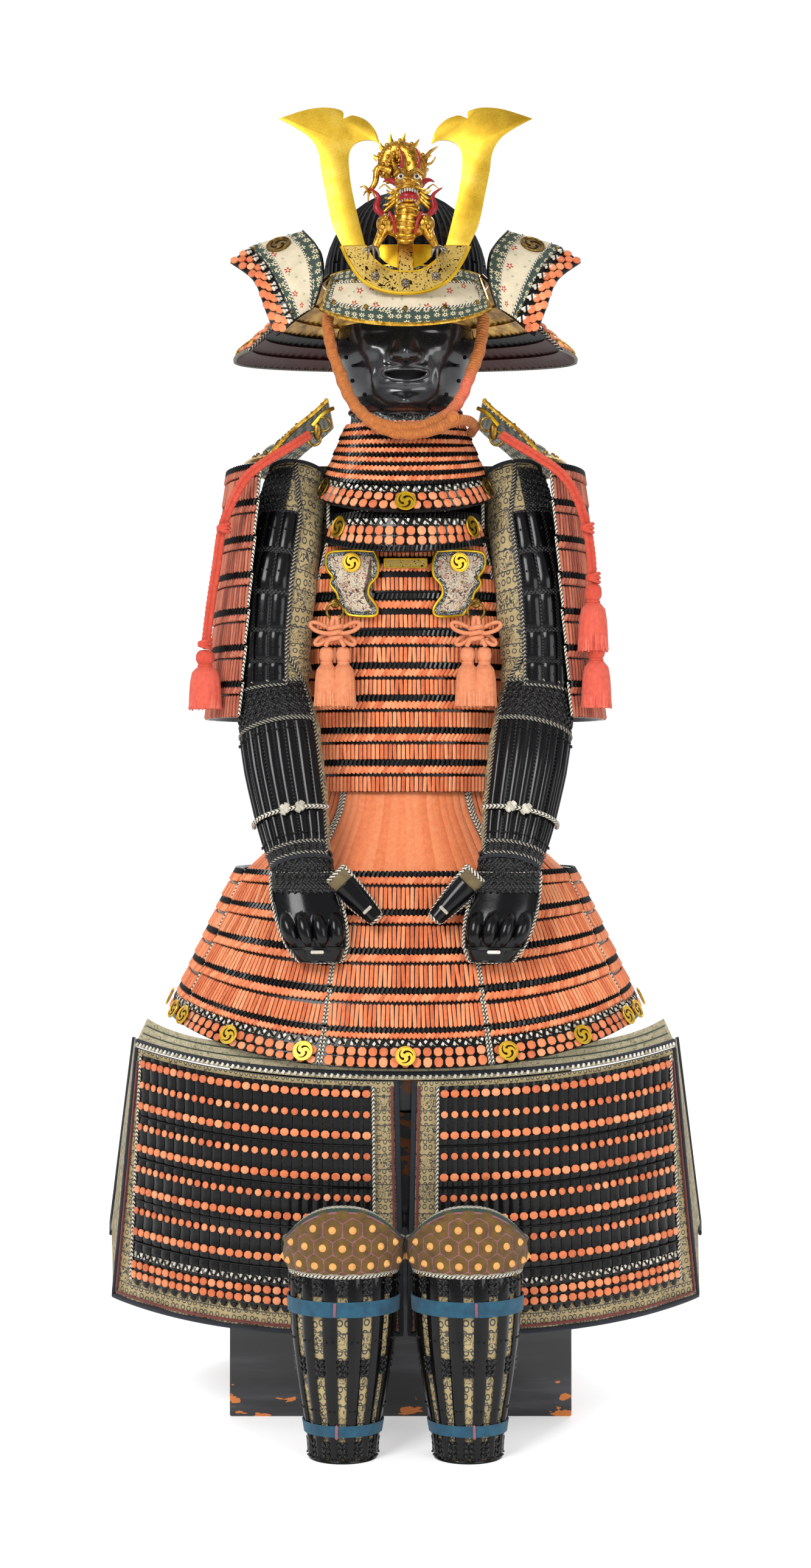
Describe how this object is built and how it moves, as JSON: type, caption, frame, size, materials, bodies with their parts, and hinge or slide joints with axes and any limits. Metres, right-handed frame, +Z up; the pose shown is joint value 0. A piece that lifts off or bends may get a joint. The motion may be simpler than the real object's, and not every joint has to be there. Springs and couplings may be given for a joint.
{
  "type": "samurai armour on its lacquered storage chest and a plain wooden stand",
  "caption": "Full laced armour seated on a lacquered chest: horned helmet, mask, cuirass, tassets, sleeves, thigh guards, shin guards.",
  "frame": {"origin": "on the floor under the middle of the whole set, without its two free shoulder cords and their tassels", "axes": "+Z up, the armour faces -Y, +X is towards the wearer's left"},
  "size_m": [0.78, 0.6643, 1.642],
  "materials": {
    "lacing": "coral silk braid lacing over black lacquered scales",
    "black_lacquer": "polished black lacquer over iron and leather plates",
    "black_iron": "smooth black lacquered iron",
    "gilt": "burnished gilt copper",
    "gold_lacquer": "worn gold lacquer",
    "brocade": "gold and dark blue silk brocade",
    "deerskin": "stencilled deerskin",
    "quilting": "brown cloth quilted in hexagons",
    "cord": "twisted and braided coral silk cord and floss",
    "chin_cord": "faded orange padded silk cord",
    "chest_wood": "black lacquered wood, chipped",
    "pine": "plain planed wood"
  },
  "bodies": {
    "root": {"helmet_bowl": "black_iron", "helmet_peak": "deerskin", "neck_guard_upper": "gold_lacquer", "neck_guard_lower": "gold_lacquer", "turnback_left": "deerskin", "turnback_right": "deerskin", "crest_holder": "gilt", "crest_horn_left": "gilt", "crest_horn_right": "gilt", "crest_dragon": "gilt", "face_mask": "black_iron", "chin_cord": "chin_cord", "throat_guard": "lacing", "collar_guard": "lacing", "cuirass_front": "lacing", "cuirass_back": "lacing", "breast_plate": "lacing", "back_plate": "lacing", "shoulder_strap_left": "black_lacquer", "shoulder_strap_right": "black_lacquer", "pendant_plate_left": "deerskin", "pendant_plate_right": "deerskin", "breast_tassel_left": "cord", "breast_tassel_right": "cord", "waist_lacing": "lacing", "tasset_front": "lacing", "tasset_front_left": "lacing", "tasset_side_left": "lacing", "tasset_back_left": "lacing", "tasset_back_right": "lacing", "tasset_side_right": "lacing", "tasset_front_right": "lacing", "shoulder_guard_left": "lacing", "shoulder_guard_right": "lacing", "shoulder_cap_left": "deerskin", "shoulder_cap_right": "deerskin", "shoulder_cord_left": "cord", "shoulder_cord_right": "cord", "shoulder_tassel_left": "cord", "shoulder_tassel_right": "cord", "sleeve_left": "brocade", "sleeve_right": "brocade", "forearm_guard_left": "black_lacquer", "forearm_guard_right": "black_lacquer", "upper_arm_guard_left": "black_lacquer", "upper_arm_guard_right": "black_lacquer", "hand_guard_left": "black_lacquer", "hand_guard_right": "black_lacquer", "thigh_cloth_left": "brocade", "thigh_cloth_right": "brocade", "thigh_scales_left": "black_lacquer", "thigh_scales_right": "black_lacquer", "thigh_band": "deerskin", "shin_guard_left": "black_lacquer", "shin_guard_right": "black_lacquer", "knee_guard_left": "quilting", "knee_guard_right": "quilting", "chest_body": "chest_wood", "chest_lid": "chest_wood", "stand": "pine"}
  },
  "joints": []
}
